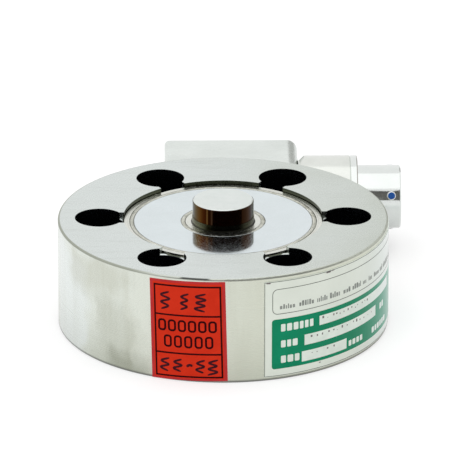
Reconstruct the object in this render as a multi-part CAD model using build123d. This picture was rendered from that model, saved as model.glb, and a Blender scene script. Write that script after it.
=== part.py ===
from build123d import *
from math import cos, hypot, radians, sin, sqrt
import os

# Low profile compression force sensor, a flat round load cell.
# Millimetres. Origin at the centre of the bottom mounting face, +Z up along
# the loading axis, +Y towards the junction block, +X along the receptacle.

# Sensing body
BODY_DIAMETER = 76.2
BODY_HEIGHT = 25.4
BODY_TOP_ROUND = 0.5
BODY_EDGE_BREAK = 0.3
CAVITY_DIAMETER = 39.6
WEB_BOTTOM_Z = 12.0
WEB_THICKNESS = 5.0
WEB_FILLET = 1.5
HUB_DIAMETER = 20.4
HUB_STOP_GAP = 0.3
NECK_DIAMETER = 14.3
NECK_RISE = 0.5
NECK_FLARE = 0.25

# Mounting holes, and the relief that joins each counterbore to the recess
HOLE_COUNT = 6
HOLE_CIRCLE = 57.15
HOLE_DIAMETER = 7.1
COUNTERBORE_DIAMETER = 11.2
COUNTERBORE_DEPTH = 7.5
RELIEF_WIDTH = 6.35
SEAT_EDGE_BREAK = 0.25

# Top diaphragm in its recess
RECESS_DIAMETER = 46.12
RECESS_DEPTH = 1.0
DIAPHRAGM_THICKNESS = 0.45
DIAPHRAGM_RIM_GAP = 0.26
DIAPHRAGM_NECK_GAP = 0.02
OUTER_WELD_INSET = 1.75
OUTER_WELD_WIDTH = 0.9
INNER_WELD_OFFSET = 1.8
INNER_WELD_WIDTH = 0.95
WELD_HEIGHT = 0.12

# Base cover
COVER_SEAT_WIDTH = 1.15
COVER_THICKNESS = 1.2
COVER_RAISE = 0.5
COVER_GAP = 0.05
COVER_WELD_INSET = 0.6

# Load button and its stud
BUTTON_DIAMETER = 14.1
BUTTON_HEIGHT = 3.9
BUTTON_EDGE_BREAK = 0.3
STUD_DIAMETER = 6.0
STUD_LENGTH = 8.0
STUD_CLEARANCE = 0.05
STUD_END_GAP = 0.3

# Strain gauges, their terminals and the bridge wiring, under the web
GAUGE_PAIRS = 4
GAUGE_PAIR_GAP = 1.0
GAUGE_WIDTH = 4.0
GAUGE_THICKNESS = 0.12
GAUGE_MARGIN = 0.2
TERMINAL_WIDTH = 2.4
TERMINAL_SPAN = 19.0
TERMINAL_THICKNESS = 0.6
BRIDGE_WIRE_DIAMETER = 0.5
BRIDGE_WIRE_GAP = 0.03

# Wire passage through the rim, with its sleeve and the signal leads
PASSAGE_DIAMETER = 3.6
PASSAGE_FLOOR_GAP = 0.05
SLEEVE_WALL = 0.4
SLEEVE_CLEARANCE = 0.03
SLEEVE_SETBACK = 0.3
LEAD_DIAMETER = 0.7
LEAD_SLEEVE_GAP = 0.17
SIGNAL_LEAD_BEND = 1.5
SIGNAL_LEAD_SPREAD = 4.0
SIGNAL_LEAD_RUN_IN = 4.3
LONGEST_BEND_SHARE = 0.8

# Junction block, welded to the back of the rim
BLOCK_LEFT_X = -13.05
BLOCK_RIGHT_X = 18.45
BLOCK_BEHIND_AXIS = 13.05
BLOCK_STEP = 3.05
BLOCK_WALL = 2.5
BLOCK_LEFT_ROUND = 1.2
BLOCK_RIGHT_ROUND = 2.5
BLOCK_BACK_ROUND = 0.8

# Compensation board in the block
BOARD_END_GAP = 2.375
BOARD_EDGE_GAP = 0.65
BOARD_THICKNESS = 1.0
PAD_THICKNESS = 1.0
PAD_MARGIN = 1.0
RESISTOR_COUNT = 4
RESISTOR_LENGTH = 3.2
RESISTOR_WIDTH = 1.6
RESISTOR_THICKNESS = 1.2
RESISTOR_PITCH = 5.0
RESISTOR_EDGE_MARGIN = 0.5

# Connector adaptor, turned, welded to the block's right-hand face
CONNECTOR_STANDOFF = 6.4
ADAPTOR_DIAMETER = 19.6
ADAPTOR_LENGTH = 12.25
ADAPTOR_CHAMFER = 1.1
ADAPTOR_ROOT = 0.3
ADAPTOR_BORE = 10.0
JOINT_EDGE_BREAK = 0.15

# Bayonet receptacle
FLANGE_THICKNESS = 1.7
SPIGOT_DIAMETER = 15.7
SPIGOT_LENGTH = 2.4
SPIGOT_CLEARANCE = 0.04
SHELL_DIAMETER = 14.99
SHELL_LENGTH = 10.25
SHELL_WALL = 1.395
SHELL_MOUTH_BREAK = 0.3
REAR_LIP = 0.5
REAR_LIP_DEPTH = 0.7
MASTER_KEY_WIDTH = 2.2
MINOR_KEY_WIDTH = 1.1
KEY_DEPTH = 0.45
MINOR_KEY_ANGLES = (105.0, 140.0, 215.0, 265.0)
INSERT_LENGTH = 3.5
INSERT_CLEARANCE = 0.02
SEAL_THICKNESS = 0.8
SEAL_RIM_GAP = 0.15

# Contacts and bayonet pins
CONTACT_COUNT = 6
CONTACT_CIRCLE = 6.4
CONTACT_DIAMETER = 1.0
CONTACT_TIP_DEPTH = 4.4
CONTACT_TIP_ROUND = 0.35
CONTACT_CLEARANCE = 0.02
CUP_DIAMETER = 1.6
CUP_BORE = 0.9
CUP_LENGTH = 4.0
CUP_DEPTH = 2.0
CONTACT_LEAD_BEND = 1.6
CONTACT_PAD_SHIFT = -5.8
CONTACT_PAD_PITCH = 4.0
BAYONET_COUNT = 3
BAYONET_DIAMETER = 2.1
BAYONET_STAND = 0.9
BAYONET_SEAT_DEPTH = 0.9
BAYONET_CLEARANCE = 0.02
BAYONET_SETBACK = 2.35
BAYONET_ROUND = 0.25
BAYONET_FIRST_ANGLE = 157.7

# Nameplate foil and calibration sticker on the rim
NAMEPLATE_THICKNESS = 0.15
NAMEPLATE_HEIGHT = 23.35
NAMEPLATE_DROP = 1.15
NAMEPLATE_START_ANGLE = -76.8
NAMEPLATE_SPAN = 96.0
STICKER_THICKNESS = 0.1
STICKER_WIDTH = 17.5
STICKER_HEIGHT = 24.2
STICKER_DROP = 0.85
STICKER_ANGLE = -103.0
STICKER_TILT = 1.4

# Radii
BODY_R = BODY_DIAMETER / 2
CAVITY_R = CAVITY_DIAMETER / 2
HUB_R = HUB_DIAMETER / 2
NECK_R = NECK_DIAMETER / 2
FLARE_R = NECK_R + NECK_FLARE
RECESS_R = RECESS_DIAMETER / 2
COUNTERBORE_R = COUNTERBORE_DIAMETER / 2
HOLE_R = HOLE_DIAMETER / 2
HOLE_CIRCLE_R = HOLE_CIRCLE / 2
COVER_R = CAVITY_R + COVER_SEAT_WIDTH
DIAPHRAGM_R = RECESS_R - DIAPHRAGM_RIM_GAP
STUD_R = STUD_DIAMETER / 2
PASSAGE_R = PASSAGE_DIAMETER / 2
LEAD_R = LEAD_DIAMETER / 2
SHELL_R = SHELL_DIAMETER / 2
SHELL_BORE_R = SHELL_R - SHELL_WALL
CONTACT_CIRCLE_R = CONTACT_CIRCLE / 2
CONTACT_R = CONTACT_DIAMETER / 2

# Heights on the loading axis
DIAPHRAGM_TOP_Z = BODY_HEIGHT - RECESS_DEPTH
SEAT_Z = DIAPHRAGM_TOP_Z - DIAPHRAGM_THICKNESS
WEB_TOP_Z = WEB_BOTTOM_Z + WEB_THICKNESS
COVER_TOP_Z = COVER_RAISE + COVER_THICKNESS
HUB_BOTTOM_Z = COVER_TOP_Z + HUB_STOP_GAP
NECK_TOP_Z = BODY_HEIGHT + NECK_RISE

# Junction block: its outside, its pocket, the board in it and the wire passage to it
CONNECTOR_Y = BODY_R + CONNECTOR_STANDOFF
BLOCK_BACK_Y = CONNECTOR_Y + BLOCK_BEHIND_AXIS
BLOCK_HEIGHT = BODY_HEIGHT - 2 * BLOCK_STEP
BLOCK_WIDTH = BLOCK_RIGHT_X - BLOCK_LEFT_X
BLOCK_MID_X = (BLOCK_LEFT_X + BLOCK_RIGHT_X) / 2
BLOCK_MID_Z = BODY_HEIGHT / 2
POCKET_WIDTH = BLOCK_WIDTH - 2 * BLOCK_WALL
POCKET_HEIGHT = BLOCK_HEIGHT - 2 * BLOCK_WALL
POCKET_BACK_Y = BLOCK_BACK_Y - BLOCK_WALL
PASSAGE_Z = BLOCK_MID_Z - POCKET_HEIGHT / 2 + PASSAGE_R + PASSAGE_FLOOR_GAP
BOARD_WIDTH = POCKET_WIDTH - 2 * BOARD_END_GAP
BOARD_HEIGHT = POCKET_HEIGHT - 2 * BOARD_EDGE_GAP
BOARD_BACK_Y = POCKET_BACK_Y - PAD_THICKNESS
BOARD_FRONT_Y = BOARD_BACK_Y - BOARD_THICKNESS

# The sleeve in the passage, and the square of leads that it holds
SLEEVE_R = PASSAGE_R - SLEEVE_CLEARANCE
SLEEVE_BORE_R = SLEEVE_R - SLEEVE_WALL
LEAD_OFFSET = (SLEEVE_BORE_R - LEAD_SLEEVE_GAP - LEAD_R) / sqrt(2)

# Stations along the connector axis, measured as global X
ADAPTOR_R = ADAPTOR_DIAMETER / 2
ADAPTOR_END_X = BLOCK_RIGHT_X + ADAPTOR_LENGTH
SPIGOT_START_X = ADAPTOR_END_X - SPIGOT_LENGTH
FLANGE_END_X = ADAPTOR_END_X + FLANGE_THICKNESS
MOUTH_X = FLANGE_END_X + SHELL_LENGTH
INSERT_START_X = ADAPTOR_END_X + REAR_LIP_DEPTH
INSERT_END_X = INSERT_START_X + INSERT_LENGTH
SEAL_END_X = INSERT_END_X + SEAL_THICKNESS
CUP_START_X = INSERT_START_X - CUP_LENGTH
CONTACT_TIP_X = MOUTH_X - CONTACT_TIP_DEPTH
BAYONET_X = MOUTH_X - BAYONET_SETBACK

# The connector frame: its Z runs along global X, its X along global Y.
CONNECTOR = Plane(origin=(0, CONNECTOR_Y, BLOCK_MID_Z), x_dir=(0, 1, 0), z_dir=(1, 0, 0))

LOW = (Align.CENTER, Align.CENTER, Align.MIN)
GAUGE_ANGLES = [360 / GAUGE_PAIRS * i for i in range(GAUGE_PAIRS)]
TERMINAL_ANGLES = [angle + 180 / GAUGE_PAIRS for angle in GAUGE_ANGLES]
GAUGE_START_R = HUB_R + WEB_FILLET + GAUGE_MARGIN
GAUGE_END_R = sqrt((CAVITY_R - WEB_FILLET) ** 2 - (GAUGE_WIDTH / 2) ** 2) - GAUGE_MARGIN
GAUGE_LENGTH = (GAUGE_END_R - GAUGE_START_R - GAUGE_PAIR_GAP) / 2
INNER_GAUGE_R = GAUGE_START_R + GAUGE_LENGTH / 2
OUTER_GAUGE_R = GAUGE_END_R - GAUGE_LENGTH / 2
WIRING_R = (GAUGE_START_R + GAUGE_END_R) / 2
CONTACT_ANGLES = [30 + 360 / CONTACT_COUNT * i for i in range(CONTACT_COUNT)]


def disc(radius, low, high):
    """A plain cylinder on the Z axis from one height to another."""
    return Pos(0, 0, low) * Cylinder(radius, high - low, align=LOW)


def turned(outline, *rounds):
    """A body of revolution from (radius, height) corners; a round is (corners, radius)."""
    face = make_face(Polyline(*[(r, 0, z) for r, z in outline], close=True))
    for corners, radius in rounds:
        picked = []
        for r, z in corners:
            picked.append(min(face.vertices(), key=lambda v: hypot(v.X - r, v.Z - z)))
        face = fillet(picked, radius)
    return revolve(face, Axis.Z)


def relief_slot(bottom):
    """The slot from a counterbore to the recess, from a level up, about the hole's axis."""
    return Pos(0, 0, bottom) * Box(
        HOLE_CIRCLE_R - CAVITY_R, RELIEF_WIDTH, BODY_HEIGHT - bottom,
        align=(Align.MAX, Align.CENTER, Align.MIN),
    )


def weld_ring(radius, width, base):
    """A low rounded weld bead that runs once around the axis."""
    left = (radius - width / 2, 0, base)
    right = (radius + width / 2, 0, base)
    crown = (radius, 0, base + WELD_HEIGHT)
    section = make_face([ThreePointArc(left, crown, right), Line(right, left)])
    return revolve(section, Axis.Z)


def arc_piece(section, start, span):
    """A section in the XZ plane swept about Z from one angle through a span."""
    return Rot(0, 0, start) * revolve(section, Axis.Z, revolution_arc=span)


def round_wire(points, bends, diameter):
    """A wire of one diameter along straight runs that are joined by arcs."""
    path = FilletPolyline(*points, radius=bends)
    section = Plane(origin=path @ 0, z_dir=path % 0) * Circle(diameter / 2)
    return sweep(section, path=path)


def along_connector(radius, start, end):
    """A plain cylinder on the connector axis between two stations."""
    return CONNECTOR * disc(radius, start, end)


def contact_spot(angle):
    """Place of a contact across the connector axis, as (Y, Z) offsets."""
    return CONTACT_CIRCLE_R * cos(radians(angle)), CONTACT_CIRCLE_R * sin(radians(angle))


def make_sensing_body():
    """The rim, web, hub and neck, machined from one blank."""
    outline = [
        (0, HUB_BOTTOM_Z), (HUB_R, HUB_BOTTOM_Z), (HUB_R, WEB_BOTTOM_Z),
        (CAVITY_R, WEB_BOTTOM_Z), (CAVITY_R, COVER_TOP_Z),
        (COVER_R + COVER_GAP, COVER_TOP_Z), (COVER_R + COVER_GAP, 0),
        (BODY_R - BODY_EDGE_BREAK, 0), (BODY_R, BODY_EDGE_BREAK), (BODY_R, BODY_HEIGHT),
        (RECESS_R, BODY_HEIGHT), (RECESS_R, SEAT_Z), (CAVITY_R, SEAT_Z),
        (CAVITY_R, WEB_TOP_Z), (HUB_R, WEB_TOP_Z), (HUB_R, SEAT_Z),
        (FLARE_R, SEAT_Z), (FLARE_R, DIAPHRAGM_TOP_Z),
        (NECK_R, DIAPHRAGM_TOP_Z + NECK_FLARE), (NECK_R, NECK_TOP_Z), (0, NECK_TOP_Z),
    ]
    web_corners = [
        (HUB_R, WEB_BOTTOM_Z), (CAVITY_R, WEB_BOTTOM_Z),
        (CAVITY_R, WEB_TOP_Z), (HUB_R, WEB_TOP_Z),
    ]
    top_edge = [(BODY_R, BODY_HEIGHT)]
    body = turned(outline, (web_corners, WEB_FILLET), (top_edge, BODY_TOP_ROUND))
    cutters = []
    for index in range(HOLE_COUNT):
        spot = Rot(0, 0, 360 / HOLE_COUNT * index) * Pos(HOLE_CIRCLE_R, 0, 0)
        cutters.append(spot * disc(HOLE_R, 0, BODY_HEIGHT))
        counterbore = disc(COUNTERBORE_R, BODY_HEIGHT - COUNTERBORE_DEPTH, BODY_HEIGHT)
        cutters.append(spot * counterbore)
        cutters.append(spot * relief_slot(SEAT_Z))
        edge_break = Pos(0, 0, SEAT_Z - SEAT_EDGE_BREAK) * Cone(
            COUNTERBORE_R, COUNTERBORE_R + SEAT_EDGE_BREAK, SEAT_EDGE_BREAK, align=LOW
        )
        cutters.append(spot * (edge_break & relief_slot(SEAT_Z - SEAT_EDGE_BREAK)))
    stud_hole = disc(STUD_R + STUD_CLEARANCE, NECK_TOP_Z - STUD_LENGTH - STUD_END_GAP, NECK_TOP_Z)
    passage = Pos(0, 0, PASSAGE_Z) * Rot(-90, 0, 0) * Cylinder(PASSAGE_R, BODY_R, align=LOW)
    passage -= disc(HUB_R + WEB_FILLET, 0, BODY_HEIGHT)
    return body - cutters - stud_hole - passage


def make_top_diaphragm():
    """The thin stabilising disc, welded near its rim and around the hub."""
    neck_hole_r = FLARE_R + DIAPHRAGM_NECK_GAP
    plate = disc(DIAPHRAGM_R, SEAT_Z, DIAPHRAGM_TOP_Z)
    plate += weld_ring(DIAPHRAGM_R - OUTER_WELD_INSET, OUTER_WELD_WIDTH, DIAPHRAGM_TOP_Z)
    plate += weld_ring(neck_hole_r + INNER_WELD_OFFSET, INNER_WELD_WIDTH, DIAPHRAGM_TOP_Z)
    plate -= disc(neck_hole_r, SEAT_Z, DIAPHRAGM_TOP_Z)
    for index in range(HOLE_COUNT):
        spot = Rot(0, 0, 360 / HOLE_COUNT * index) * Pos(HOLE_CIRCLE_R, 0, 0)
        plate -= spot * disc(COUNTERBORE_R, SEAT_Z, BODY_HEIGHT)
    return plate


def make_base_cover():
    """The disc that closes the underside, a little above the mounting face."""
    cover = disc(COVER_R, COVER_RAISE, COVER_TOP_Z)
    bead = weld_ring(COVER_R - COVER_WELD_INSET, OUTER_WELD_WIDTH, 0)
    return cover + Pos(0, 0, COVER_RAISE) * Rot(180, 0, 0) * bead


def make_load_button():
    """The flat load button with the stud that holds it in the hub."""
    radius = BUTTON_DIAMETER / 2
    top = NECK_TOP_Z + BUTTON_HEIGHT
    outline = [
        (0, NECK_TOP_Z - STUD_LENGTH), (STUD_R, NECK_TOP_Z - STUD_LENGTH),
        (STUD_R, NECK_TOP_Z), (radius, NECK_TOP_Z),
        (radius, top - BUTTON_EDGE_BREAK), (radius - BUTTON_EDGE_BREAK, top), (0, top),
    ]
    return turned(outline)


def make_strain_gauges():
    """Foil gauges on the web's lower face, a pair of them at each quarter."""
    gauges = []
    chip = Pos(0, 0, WEB_BOTTOM_Z - GAUGE_THICKNESS) * Box(
        GAUGE_LENGTH, GAUGE_WIDTH, GAUGE_THICKNESS, align=LOW
    )
    for angle in GAUGE_ANGLES:
        for radius in (INNER_GAUGE_R, OUTER_GAUGE_R):
            gauges.append(Rot(0, 0, angle) * Pos(radius, 0, 0) * chip)
    return gauges


def make_gauge_terminals():
    """Curved solder terminals between the gauges, on the web's lower face."""
    section = Plane.XZ * Pos(WIRING_R, WEB_BOTTOM_Z - TERMINAL_THICKNESS / 2) * Rectangle(
        TERMINAL_WIDTH, TERMINAL_THICKNESS
    )
    start = TERMINAL_SPAN / 2
    return [arc_piece(section, angle - start, TERMINAL_SPAN) for angle in TERMINAL_ANGLES]


def make_bridge_wires():
    """Wires that join each terminal to the next, between the two gauge rings."""
    height = WEB_BOTTOM_Z - BRIDGE_WIRE_GAP - BRIDGE_WIRE_DIAMETER / 2
    section = Plane.XZ * Pos(WIRING_R, height) * Circle(BRIDGE_WIRE_DIAMETER / 2)
    span = 360 / GAUGE_PAIRS - TERMINAL_SPAN
    return [arc_piece(section, angle - span / 2, span) for angle in GAUGE_ANGLES]


def make_signal_leads():
    """Leads from the two terminals by the passage, through it to the board."""
    leads = []
    start_z = WEB_BOTTOM_Z - TERMINAL_THICKNESS
    for side in (1, -1):
        for level in (1, -1):
            angle = 90 - side * (180 / GAUGE_PAIRS - level * SIGNAL_LEAD_SPREAD)
            start_x = WIRING_R * cos(radians(angle))
            start_y = WIRING_R * sin(radians(angle))
            run_z = PASSAGE_Z + level * LEAD_OFFSET
            bend = min(SIGNAL_LEAD_BEND, (start_z - run_z) * LONGEST_BEND_SHARE)
            points = [
                (start_x, start_y, start_z),
                (start_x, start_y, run_z),
                (side * LEAD_OFFSET, CAVITY_R - SIGNAL_LEAD_RUN_IN, run_z),
                (side * LEAD_OFFSET, BOARD_FRONT_Y, run_z),
            ]
            leads.append(round_wire(points, bend, LEAD_DIAMETER))
    return leads


def make_passage_sleeve():
    """The insulating sleeve that lines the wire passage."""
    length = BODY_R - CAVITY_R - 2 * SLEEVE_SETBACK
    sleeve = Cylinder(SLEEVE_R, length, align=LOW) - Cylinder(SLEEVE_BORE_R, length, align=LOW)
    return Pos(0, CAVITY_R + SLEEVE_SETBACK, PASSAGE_Z) * Rot(-90, 0, 0) * sleeve


def make_junction_block():
    """The hollow block behind the rim, open towards it and bored for the adaptor."""
    outline = Rectangle(BLOCK_WIDTH, BLOCK_HEIGHT)
    corners = outline.vertices().sort_by(Axis.X)
    outline = fillet(corners[:2], BLOCK_LEFT_ROUND)
    corners = outline.vertices().sort_by(Axis.X)
    outline = fillet(corners[-2:], BLOCK_RIGHT_ROUND)
    front = Plane(origin=(BLOCK_MID_X, 0, BLOCK_MID_Z), x_dir=(1, 0, 0), z_dir=(0, 1, 0))
    block = extrude(front * outline, BLOCK_BACK_Y)
    block = fillet(block.faces().sort_by(Axis.Y)[-1].edges(), BLOCK_BACK_ROUND)
    pocket = Pos(BLOCK_MID_X, 0, BLOCK_MID_Z) * Box(
        POCKET_WIDTH, POCKET_BACK_Y, POCKET_HEIGHT,
        align=(Align.CENTER, Align.MIN, Align.CENTER),
    )
    bore = along_connector(ADAPTOR_BORE / 2, BLOCK_MID_X, BLOCK_RIGHT_X)
    return block - pocket - bore - disc(BODY_R, 0, BODY_HEIGHT)


def make_board_pad():
    """The foam pad that holds the board off the block's back wall."""
    return Pos(BLOCK_MID_X, BOARD_BACK_Y, BLOCK_MID_Z) * Box(
        BOARD_WIDTH - 2 * PAD_MARGIN, PAD_THICKNESS, BOARD_HEIGHT - 2 * PAD_MARGIN,
        align=(Align.CENTER, Align.MIN, Align.CENTER),
    )


def make_compensation_board():
    """The small circuit board that stands in the block."""
    return Pos(BLOCK_MID_X, BOARD_FRONT_Y, BLOCK_MID_Z) * Box(
        BOARD_WIDTH, BOARD_THICKNESS, BOARD_HEIGHT,
        align=(Align.CENTER, Align.MIN, Align.CENTER),
    )


def make_trim_resistors():
    """Trimming resistors in a row along the board's upper edge."""
    height = BLOCK_MID_Z + BOARD_HEIGHT / 2 - RESISTOR_EDGE_MARGIN - RESISTOR_WIDTH / 2
    first = BLOCK_MID_X - RESISTOR_PITCH * (RESISTOR_COUNT - 1) / 2
    chip = Box(
        RESISTOR_LENGTH, RESISTOR_THICKNESS, RESISTOR_WIDTH,
        align=(Align.CENTER, Align.MAX, Align.CENTER),
    )
    return [
        Pos(first + RESISTOR_PITCH * i, BOARD_FRONT_Y, height) * chip
        for i in range(RESISTOR_COUNT)
    ]


def make_connector_adaptor():
    """The turned sleeve between the block and the receptacle."""
    bore = ADAPTOR_BORE / 2
    socket = SPIGOT_DIAMETER / 2 + SPIGOT_CLEARANCE
    root = BLOCK_RIGHT_X + ADAPTOR_ROOT
    floor = SPIGOT_START_X - SPIGOT_CLEARANCE
    outline = [
        (bore, BLOCK_RIGHT_X), (ADAPTOR_R - ADAPTOR_CHAMFER, BLOCK_RIGHT_X),
        (ADAPTOR_R - ADAPTOR_CHAMFER, root), (ADAPTOR_R, root + ADAPTOR_CHAMFER),
        (ADAPTOR_R, ADAPTOR_END_X - JOINT_EDGE_BREAK),
        (ADAPTOR_R - JOINT_EDGE_BREAK, ADAPTOR_END_X), (socket, ADAPTOR_END_X),
        (socket, floor), (bore, floor),
    ]
    return CONNECTOR * turned(outline)


def make_receptacle_shell():
    """The receptacle's flange, spigot and keyed barrel, turned in one piece."""
    spigot = SPIGOT_DIAMETER / 2
    lip = SHELL_BORE_R - REAR_LIP
    outline = [
        (lip, SPIGOT_START_X), (spigot, SPIGOT_START_X), (spigot, ADAPTOR_END_X),
        (ADAPTOR_R - JOINT_EDGE_BREAK, ADAPTOR_END_X),
        (ADAPTOR_R, ADAPTOR_END_X + JOINT_EDGE_BREAK),
        (ADAPTOR_R, FLANGE_END_X - JOINT_EDGE_BREAK),
        (ADAPTOR_R - JOINT_EDGE_BREAK, FLANGE_END_X), (SHELL_R, FLANGE_END_X),
        (SHELL_R, MOUTH_X - SHELL_MOUTH_BREAK), (SHELL_R - SHELL_MOUTH_BREAK, MOUTH_X),
        (SHELL_BORE_R, MOUTH_X), (SHELL_BORE_R, INSERT_START_X), (lip, INSERT_START_X),
    ]
    shell = turned(outline)
    groove_length = MOUTH_X - INSERT_END_X
    keys = [(0.0, MASTER_KEY_WIDTH)] + [(angle, MINOR_KEY_WIDTH) for angle in MINOR_KEY_ANGLES]
    for angle, width in keys:
        groove = Pos(0, 0, INSERT_END_X) * Box(
            SHELL_BORE_R + KEY_DEPTH, width, groove_length,
            align=(Align.MIN, Align.CENTER, Align.MIN),
        )
        shell -= Rot(0, 0, 90 + angle) * groove
    seat_r = SHELL_R - BAYONET_SEAT_DEPTH
    hole = Pos(seat_r, 0, BAYONET_X) * Rot(0, 90, 0) * Cylinder(
        BAYONET_DIAMETER / 2 + BAYONET_CLEARANCE, BAYONET_SEAT_DEPTH + BAYONET_STAND, align=LOW
    )
    for index in range(BAYONET_COUNT):
        shell -= Rot(0, 0, BAYONET_FIRST_ANGLE + 360 / BAYONET_COUNT * index) * hole
    return CONNECTOR * shell


def make_bayonet_pins():
    """The pins on the barrel that the mating plug locks on."""
    pin = Cylinder(BAYONET_DIAMETER / 2, BAYONET_SEAT_DEPTH + BAYONET_STAND, align=LOW)
    pin = fillet(pin.edges().sort_by(Axis.Z)[-1], BAYONET_ROUND)
    pin = Pos(SHELL_R - BAYONET_SEAT_DEPTH, 0, BAYONET_X) * Rot(0, 90, 0) * pin
    step = 360 / BAYONET_COUNT
    return [
        CONNECTOR * Rot(0, 0, BAYONET_FIRST_ANGLE + step * i) * pin
        for i in range(BAYONET_COUNT)
    ]


def drilled_for_contacts(blank, start, end):
    """A disc on the connector axis with a clearance hole for each contact."""
    for angle in CONTACT_ANGLES:
        across, up = contact_spot(angle)
        blank -= Pos(across, up, 0) * disc(CONTACT_R + CONTACT_CLEARANCE, start, end)
    return CONNECTOR * blank


def make_receptacle_insert():
    """The glass insert that seals the contacts into the shell."""
    blank = disc(SHELL_BORE_R - INSERT_CLEARANCE, INSERT_START_X, INSERT_END_X)
    return drilled_for_contacts(blank, INSERT_START_X, INSERT_END_X)


def make_interface_seal():
    """The rubber face seal around the contacts."""
    blank = disc(SHELL_BORE_R - SEAL_RIM_GAP, INSERT_END_X, SEAL_END_X)
    return drilled_for_contacts(blank, INSERT_END_X, SEAL_END_X)


def make_contact_pins():
    """Pin contacts, each with a solder cup at the back."""
    cup = CUP_DIAMETER / 2
    outline = [
        (0, CUP_START_X + CUP_DEPTH), (CUP_BORE / 2, CUP_START_X + CUP_DEPTH),
        (CUP_BORE / 2, CUP_START_X), (cup, CUP_START_X), (cup, INSERT_START_X),
        (CONTACT_R, INSERT_START_X), (CONTACT_R, CONTACT_TIP_X), (0, CONTACT_TIP_X),
    ]
    pin = turned(outline, ([(CONTACT_R, CONTACT_TIP_X)], CONTACT_TIP_ROUND))
    pins = []
    for angle in CONTACT_ANGLES:
        across, up = contact_spot(angle)
        pins.append(CONNECTOR * Pos(across, up, 0) * pin)
    return pins


def make_contact_leads():
    """Leads from the board, around one bend and into the solder cups."""
    leads = []
    for angle in CONTACT_ANGLES:
        across, up = contact_spot(angle)
        pad_x = BLOCK_MID_X + CONTACT_PAD_SHIFT + CONTACT_PAD_PITCH * cos(radians(angle))
        y = CONNECTOR_Y + across
        z = BLOCK_MID_Z + up
        points = [
            (pad_x, BOARD_FRONT_Y, z),
            (pad_x, y, z),
            (CUP_START_X + CUP_DEPTH, y, z),
        ]
        leads.append(round_wire(points, CONTACT_LEAD_BEND, LEAD_DIAMETER))
    return leads


def make_nameplate():
    """The foil nameplate, wrapped around the rim."""
    low = BODY_HEIGHT - NAMEPLATE_DROP - NAMEPLATE_HEIGHT
    section = Plane.XZ * Pos(BODY_R + NAMEPLATE_THICKNESS / 2, low + NAMEPLATE_HEIGHT / 2)
    section = section * Rectangle(NAMEPLATE_THICKNESS, NAMEPLATE_HEIGHT)
    return arc_piece(section, NAMEPLATE_START_ANGLE, NAMEPLATE_SPAN)


def make_calibration_sticker():
    """The small sticker on the rim, set a little askew."""
    outer = BODY_R + STICKER_THICKNESS
    skin = disc(outer, 0, BODY_HEIGHT) - disc(BODY_R, 0, BODY_HEIGHT)
    middle = BODY_HEIGHT - STICKER_DROP - STICKER_HEIGHT / 2
    cutter = Rot(STICKER_TILT, 0, 0) * Box(
        outer, STICKER_WIDTH, STICKER_HEIGHT,
        align=(Align.MIN, Align.CENTER, Align.CENTER),
    )
    return skin & (Pos(0, 0, middle) * Rot(0, 0, STICKER_ANGLE) * cutter)


def numbered(name, shapes):
    """Node names with running numbers for pieces that repeat."""
    return {f"{name}_{i + 1}": shape for i, shape in enumerate(shapes)}


def make_parts():
    """Every separate piece of the sensor under its own node name."""
    parts = {
        "sensing_body": make_sensing_body(),
        "top_diaphragm": make_top_diaphragm(),
        "base_cover": make_base_cover(),
        "load_button": make_load_button(),
        "passage_sleeve": make_passage_sleeve(),
        "junction_block": make_junction_block(),
        "board_pad": make_board_pad(),
        "compensation_board": make_compensation_board(),
        "connector_adaptor": make_connector_adaptor(),
        "receptacle_shell": make_receptacle_shell(),
        "receptacle_insert": make_receptacle_insert(),
        "interface_seal": make_interface_seal(),
        "nameplate": make_nameplate(),
        "calibration_sticker": make_calibration_sticker(),
    }
    parts.update(numbered("strain_gauge", make_strain_gauges()))
    parts.update(numbered("gauge_terminal", make_gauge_terminals()))
    parts.update(numbered("bridge_wire", make_bridge_wires()))
    parts.update(numbered("signal_lead", make_signal_leads()))
    parts.update(numbered("trim_resistor", make_trim_resistors()))
    parts.update(numbered("contact_lead", make_contact_leads()))
    parts.update(numbered("contact_pin", make_contact_pins()))
    parts.update(numbered("bayonet_pin", make_bayonet_pins()))
    return parts


PARTS = make_parts()

os.makedirs("parts", exist_ok=True)
for name, shape in PARTS.items():
    export_step(shape, os.path.join("parts", name + ".step"))
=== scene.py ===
from math import cos, pi, radians, sin
from random import Random

import bmesh
import bpy
from mathutils import Matrix, Vector


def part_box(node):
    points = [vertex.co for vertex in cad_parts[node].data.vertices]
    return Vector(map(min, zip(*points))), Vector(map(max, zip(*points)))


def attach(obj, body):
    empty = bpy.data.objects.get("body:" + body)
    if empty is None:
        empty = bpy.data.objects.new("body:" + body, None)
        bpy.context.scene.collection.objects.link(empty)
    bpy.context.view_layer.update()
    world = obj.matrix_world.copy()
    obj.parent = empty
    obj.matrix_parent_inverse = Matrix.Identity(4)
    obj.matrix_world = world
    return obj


MM = 0.001
MICRON = 0.000001
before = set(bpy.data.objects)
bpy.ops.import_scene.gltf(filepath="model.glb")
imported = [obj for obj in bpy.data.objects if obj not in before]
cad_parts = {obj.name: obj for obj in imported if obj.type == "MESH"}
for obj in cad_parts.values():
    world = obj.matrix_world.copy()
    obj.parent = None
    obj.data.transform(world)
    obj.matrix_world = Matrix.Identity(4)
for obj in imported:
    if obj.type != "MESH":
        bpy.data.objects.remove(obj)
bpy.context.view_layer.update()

# Places of the CAD model, in millimetres and degrees
BODY_R = 38.1
BODY_HEIGHT = 25.4
HOLE_COUNT = 6
HOLE_CIRCLE_R = 28.575
COUNTERBORE_R = 5.6
RECESS_R = 23.06
DIAPHRAGM_TOP_Z = 24.4
NECK_R = 7.15
BUTTON_TOP_Z = 29.8
OUTER_WELD_R = 21.05
OUTER_WELD_HALF = 0.45
INNER_WELD_R = 9.22
INNER_WELD_HALF = 0.475
COVER_WELD_R = 20.35
FACING_PITCH = 0.35
FLANGE_END_X = 32.3
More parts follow.
